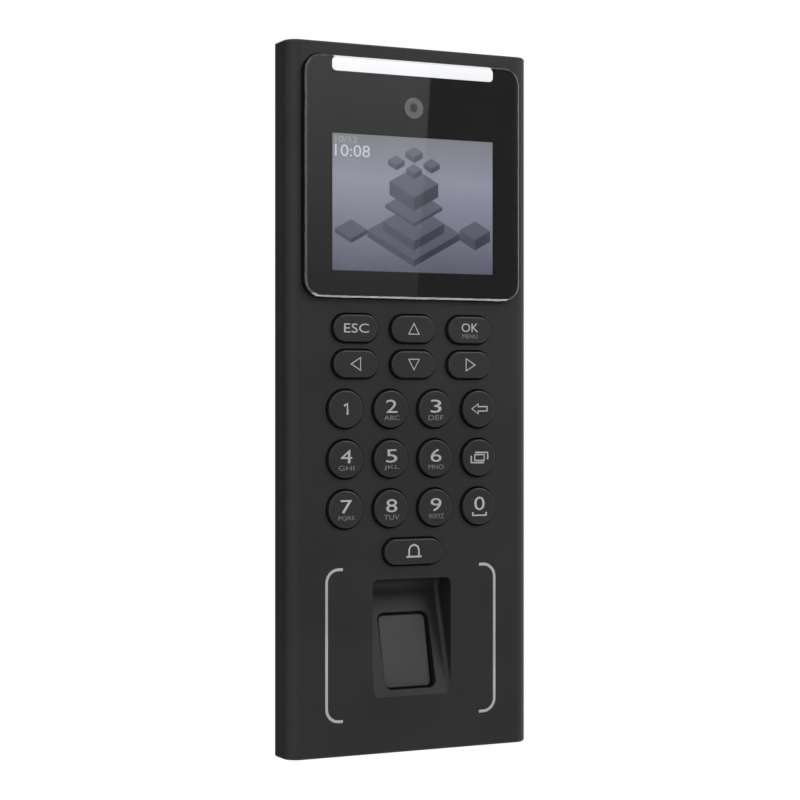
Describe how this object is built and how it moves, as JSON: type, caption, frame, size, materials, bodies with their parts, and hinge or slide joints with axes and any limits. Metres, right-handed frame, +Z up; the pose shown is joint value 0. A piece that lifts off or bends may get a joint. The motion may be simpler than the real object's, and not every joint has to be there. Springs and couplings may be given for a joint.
{
  "type": "wall access terminal",
  "caption": "Wall-mounted access terminal: narrow black case with a glass display pane, light bar, round and oblong push keys and a sloped fingerprint reader.",
  "frame": {"origin": "centre of the four-hole wall screw pattern, in the plane of the wall", "axes": "+Y into the wall, +Z up, +X to the right as seen from the front"},
  "size_m": [0.074, 0.023, 0.193],
  "materials": {
    "shell_plastic": "fine spark-eroded black moulding",
    "key_plastic": "fine satin black moulding",
    "pane_glass": "polished clear pane",
    "black_print": "black ceramic print behind the pane",
    "bar_diffuser": "opal diffuser, lit white",
    "display": "lit liquid crystal display",
    "backlight_frame": "white moulded frame",
    "camera_grey": "dark grey moulding",
    "lens_glass": "coated lens",
    "sensor_glass": "coated prism glass",
    "zinc_steel": "zinc plated sheet",
    "screw_steel": "zinc plated",
    "black_rubber": "soft silicone",
    "circuit_board": "green solder mask",
    "component_black": "moulded component",
    "header_green": "moulded terminal strip",
    "flex_amber": "polyimide film"
  },
  "bodies": {
    "terminal": {"front_housing": "shell_plastic", "front_glass": "pane_glass", "glass_mask": "black_print", "panel_carrier": "shell_plastic", "light_bar": "bar_diffuser", "light_board": "circuit_board", "lcd_glass": "display", "lcd_backlight": "backlight_frame", "lcd_bracket": "zinc_steel", "camera_bezel": "camera_grey", "camera_barrel": "component_black", "camera_lens": "lens_glass", "camera_board": "circuit_board", "keypad_mat": "black_rubber", "keypad_board": "circuit_board", "snap_domes": "screw_steel", "front_screws": "screw_steel", "fingerprint_glass": "sensor_glass", "fingerprint_gasket": "black_rubber", "fingerprint_housing": "component_black", "fingerprint_board": "circuit_board", "rfid_antenna": "circuit_board", "main_board": "circuit_board", "main_board_screws": "screw_steel", "board_chips": "component_black", "board_sockets": "component_black", "wiring_headers": "header_green", "relay": "component_black", "coin_cell": "screw_steel", "speaker": "component_black", "tamper_switch": "component_black", "lcd_flex": "flex_amber", "camera_flex": "flex_amber", "light_flex": "flex_amber", "fingerprint_flex": "flex_amber", "housing_seal": "black_rubber", "rear_cover": "shell_plastic", "cover_screws": "screw_steel", "mounting_plate": "zinc_steel", "lock_screw": "screw_steel"},
    "key_esc": {"key_esc": "key_plastic"},
    "key_up": {"key_up": "key_plastic"},
    "key_ok": {"key_ok": "key_plastic"},
    "key_left": {"key_left": "key_plastic"},
    "key_down": {"key_down": "key_plastic"},
    "key_right": {"key_right": "key_plastic"},
    "key_1": {"key_1": "key_plastic"},
    "key_2": {"key_2": "key_plastic"},
    "key_3": {"key_3": "key_plastic"},
    "key_back": {"key_back": "key_plastic"},
    "key_4": {"key_4": "key_plastic"},
    "key_5": {"key_5": "key_plastic"},
    "key_6": {"key_6": "key_plastic"},
    "key_card": {"key_card": "key_plastic"},
    "key_7": {"key_7": "key_plastic"},
    "key_8": {"key_8": "key_plastic"},
    "key_9": {"key_9": "key_plastic"},
    "key_0": {"key_0": "key_plastic"},
    "key_bell": {"key_bell": "key_plastic"},
    "tamper_plunger": {"tamper_plunger": "component_black"}
  },
  "joints": [
    {"name": "key_esc_press", "type": "slide", "parent": "terminal", "child": "key_esc", "axis": [0, 1, 0], "range_m": [0, 0.0006], "stiffness_N_per_m": 800, "springref_m": -0.0003},
    {"name": "key_up_press", "type": "slide", "parent": "terminal", "child": "key_up", "axis": [0, 1, 0], "range_m": [0, 0.0006], "stiffness_N_per_m": 800, "springref_m": -0.0003},
    {"name": "key_ok_press", "type": "slide", "parent": "terminal", "child": "key_ok", "axis": [0, 1, 0], "range_m": [0, 0.0006], "stiffness_N_per_m": 800, "springref_m": -0.0003},
    {"name": "key_left_press", "type": "slide", "parent": "terminal", "child": "key_left", "axis": [0, 1, 0], "range_m": [0, 0.0006], "stiffness_N_per_m": 800, "springref_m": -0.0003},
    {"name": "key_down_press", "type": "slide", "parent": "terminal", "child": "key_down", "axis": [0, 1, 0], "range_m": [0, 0.0006], "stiffness_N_per_m": 800, "springref_m": -0.0003},
    {"name": "key_right_press", "type": "slide", "parent": "terminal", "child": "key_right", "axis": [0, 1, 0], "range_m": [0, 0.0006], "stiffness_N_per_m": 800, "springref_m": -0.0003},
    {"name": "key_1_press", "type": "slide", "parent": "terminal", "child": "key_1", "axis": [0, 1, 0], "range_m": [0, 0.0006], "stiffness_N_per_m": 800, "springref_m": -0.0003},
    {"name": "key_2_press", "type": "slide", "parent": "terminal", "child": "key_2", "axis": [0, 1, 0], "range_m": [0, 0.0006], "stiffness_N_per_m": 800, "springref_m": -0.0003},
    {"name": "key_3_press", "type": "slide", "parent": "terminal", "child": "key_3", "axis": [0, 1, 0], "range_m": [0, 0.0006], "stiffness_N_per_m": 800, "springref_m": -0.0003},
    {"name": "key_back_press", "type": "slide", "parent": "terminal", "child": "key_back", "axis": [0, 1, 0], "range_m": [0, 0.0006], "stiffness_N_per_m": 800, "springref_m": -0.0003},
    {"name": "key_4_press", "type": "slide", "parent": "terminal", "child": "key_4", "axis": [0, 1, 0], "range_m": [0, 0.0006], "stiffness_N_per_m": 800, "springref_m": -0.0003},
    {"name": "key_5_press", "type": "slide", "parent": "terminal", "child": "key_5", "axis": [0, 1, 0], "range_m": [0, 0.0006], "stiffness_N_per_m": 800, "springref_m": -0.0003},
    {"name": "key_6_press", "type": "slide", "parent": "terminal", "child": "key_6", "axis": [0, 1, 0], "range_m": [0, 0.0006], "stiffness_N_per_m": 800, "springref_m": -0.0003},
    {"name": "key_card_press", "type": "slide", "parent": "terminal", "child": "key_card", "axis": [0, 1, 0], "range_m": [0, 0.0006], "stiffness_N_per_m": 800, "springref_m": -0.0003},
    {"name": "key_7_press", "type": "slide", "parent": "terminal", "child": "key_7", "axis": [0, 1, 0], "range_m": [0, 0.0006], "stiffness_N_per_m": 800, "springref_m": -0.0003},
    {"name": "key_8_press", "type": "slide", "parent": "terminal", "child": "key_8", "axis": [0, 1, 0], "range_m": [0, 0.0006], "stiffness_N_per_m": 800, "springref_m": -0.0003},
    {"name": "key_9_press", "type": "slide", "parent": "terminal", "child": "key_9", "axis": [0, 1, 0], "range_m": [0, 0.0006], "stiffness_N_per_m": 800, "springref_m": -0.0003},
    {"name": "key_0_press", "type": "slide", "parent": "terminal", "child": "key_0", "axis": [0, 1, 0], "range_m": [0, 0.0006], "stiffness_N_per_m": 800, "springref_m": -0.0003},
    {"name": "key_bell_press", "type": "slide", "parent": "terminal", "child": "key_bell", "axis": [0, 1, 0], "range_m": [0, 0.0006], "stiffness_N_per_m": 800, "springref_m": -0.0003},
    {"name": "tamper_press", "type": "slide", "parent": "terminal", "child": "tamper_plunger", "axis": [0, -1, 0], "range_m": [0, 0.0008], "stiffness_N_per_m": 400, "springref_m": -0.0005}
  ]
}
